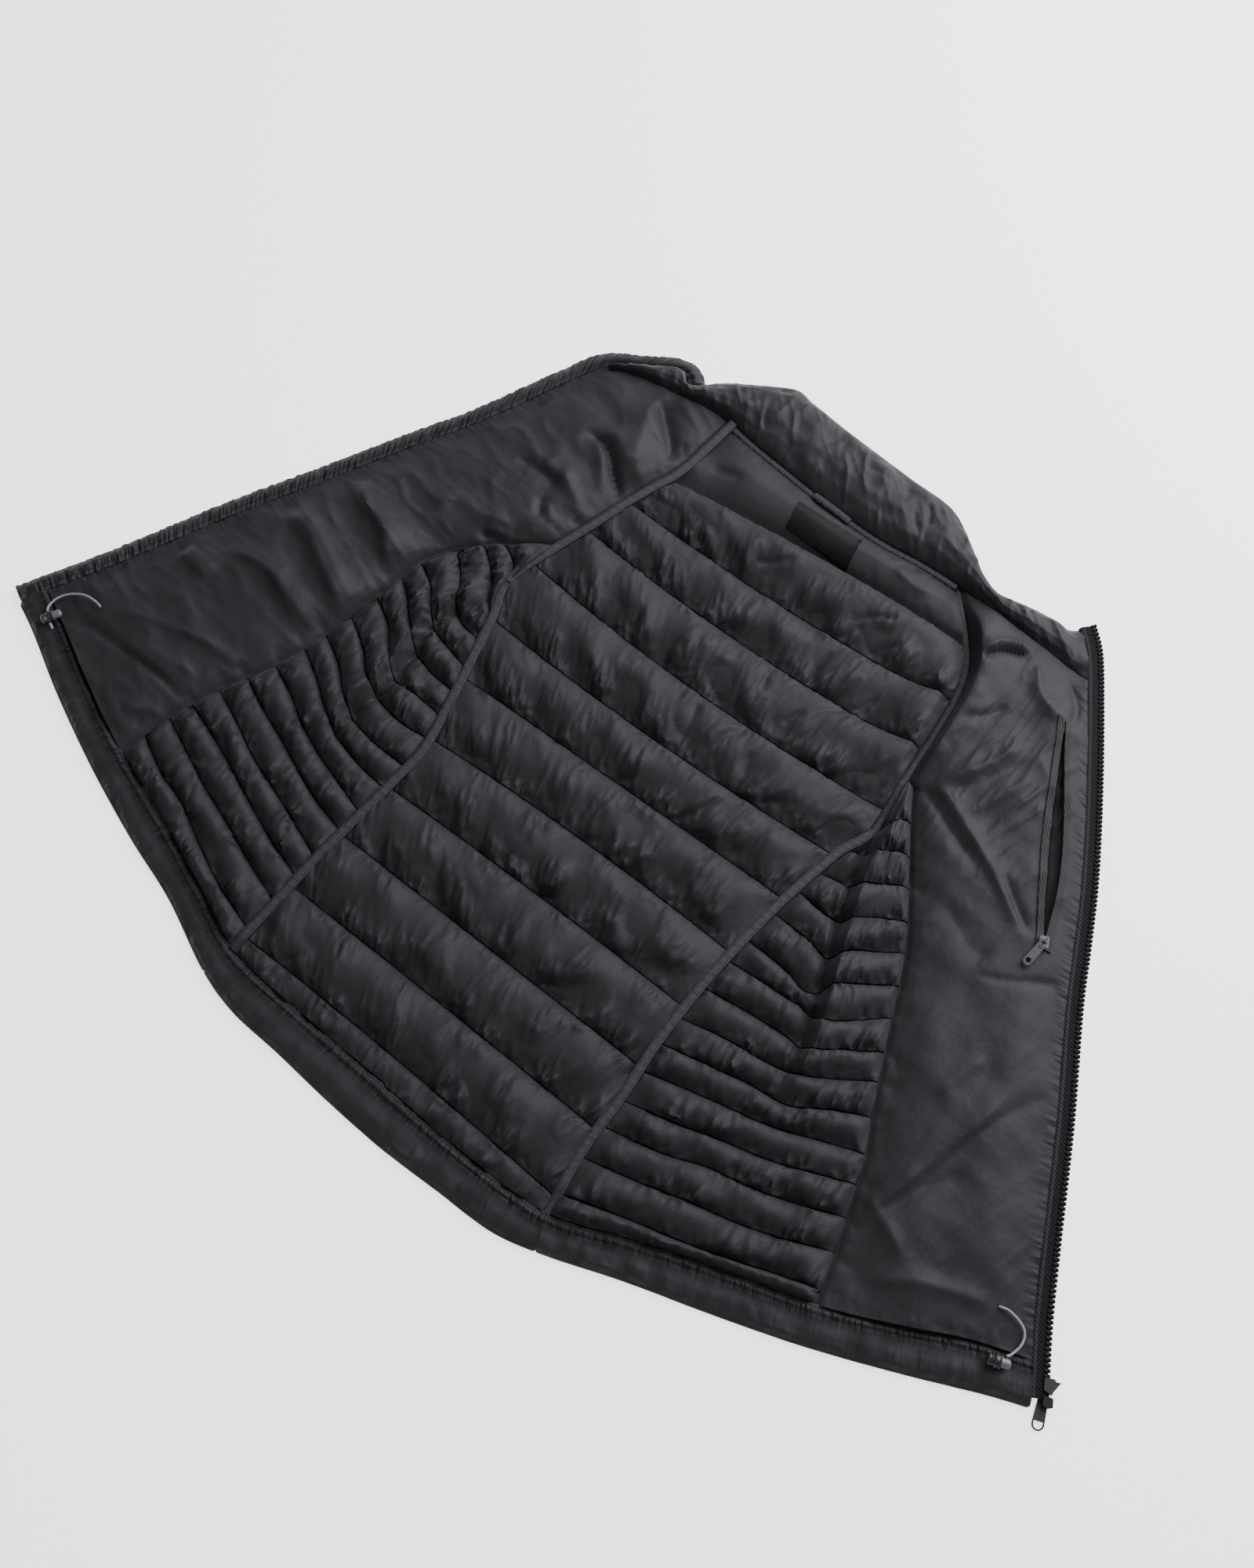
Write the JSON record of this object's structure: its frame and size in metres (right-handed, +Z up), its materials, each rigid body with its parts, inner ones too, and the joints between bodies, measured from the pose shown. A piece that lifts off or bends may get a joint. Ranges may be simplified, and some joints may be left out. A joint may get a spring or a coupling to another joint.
{
  "type": "puffer vest",
  "caption": "Sleeveless padded vest laid open with its inside up: quilted back, smooth fronts, stand collar, front zip with storm flap, inner zip pocket and hem drawcord.",
  "frame": {"origin": "middle of the laid vest's outline, on the surface it lies on", "axes": "+Z up from the surface through the cloth; seen from above, the neck is up and to the right (+X and +Y), the hem runs down from left to right, and the camera of the picture looks along +Y"},
  "size_m": [0.815, 0.811, 0.0298],
  "materials": {
    "lining_cloth": "thin nylon",
    "quilted_cloth": "thin nylon over down",
    "binding_tape": "woven tape",
    "woven_label": "woven satin",
    "zip_plastic": "moulded",
    "zip_metal": "dark satin",
    "pocket_zip_metal": "grey satin",
    "cord_textile": "round elastic cord",
    "lock_plastic": "moulded"
  },
  "bodies": {
    "vest": {"armhole_binding_left": "binding_tape", "armhole_binding_right": "binding_tape", "back_panel": "quilted_cloth", "back_yoke": "quilted_cloth", "collar": "lining_cloth", "cord_lock_left": "lock_plastic", "cord_lock_right": "lock_plastic", "drawcord_left": "cord_textile", "drawcord_right": "cord_textile", "drawcord_tail_right": "cord_textile", "front_left": "lining_cloth", "front_right": "lining_cloth", "hanger_loop": "binding_tape", "hem_band_back": "quilted_cloth", "hem_band_left": "quilted_cloth", "hem_band_right": "quilted_cloth", "label": "woven_label", "neck_tape": "binding_tape", "pocket_bag": "lining_cloth", "pocket_slider": "pocket_zip_metal", "pocket_tape_inner": "binding_tape", "pocket_tape_outer": "binding_tape", "seam_binding_left": "binding_tape", "seam_binding_right": "binding_tape", "side_panel_left": "quilted_cloth", "side_panel_right": "quilted_cloth", "storm_flap": "quilted_cloth", "zip_box": "zip_plastic", "zip_chain": "zip_plastic", "zip_slider": "zip_metal", "zip_tape": "binding_tape"},
    "main_pull": {"zip_pull": "zip_metal"},
    "inner_pull": {"pocket_pull": "pocket_zip_metal"}
  },
  "joints": [
    {"name": "main_pull_hinge", "type": "hinge", "parent": "vest", "child": "main_pull", "pos_m": [0.32133, -0.37753, 0.00215], "axis": [0.9548, -0.2972, 0], "range_deg": [0, 160]},
    {"name": "inner_pull_hinge", "type": "hinge", "parent": "vest", "child": "inner_pull", "pos_m": [0.34234, -0.08744, 0.01772], "axis": [-0.7285, 0.6851, 0], "range_deg": [0, 120]}
  ]
}
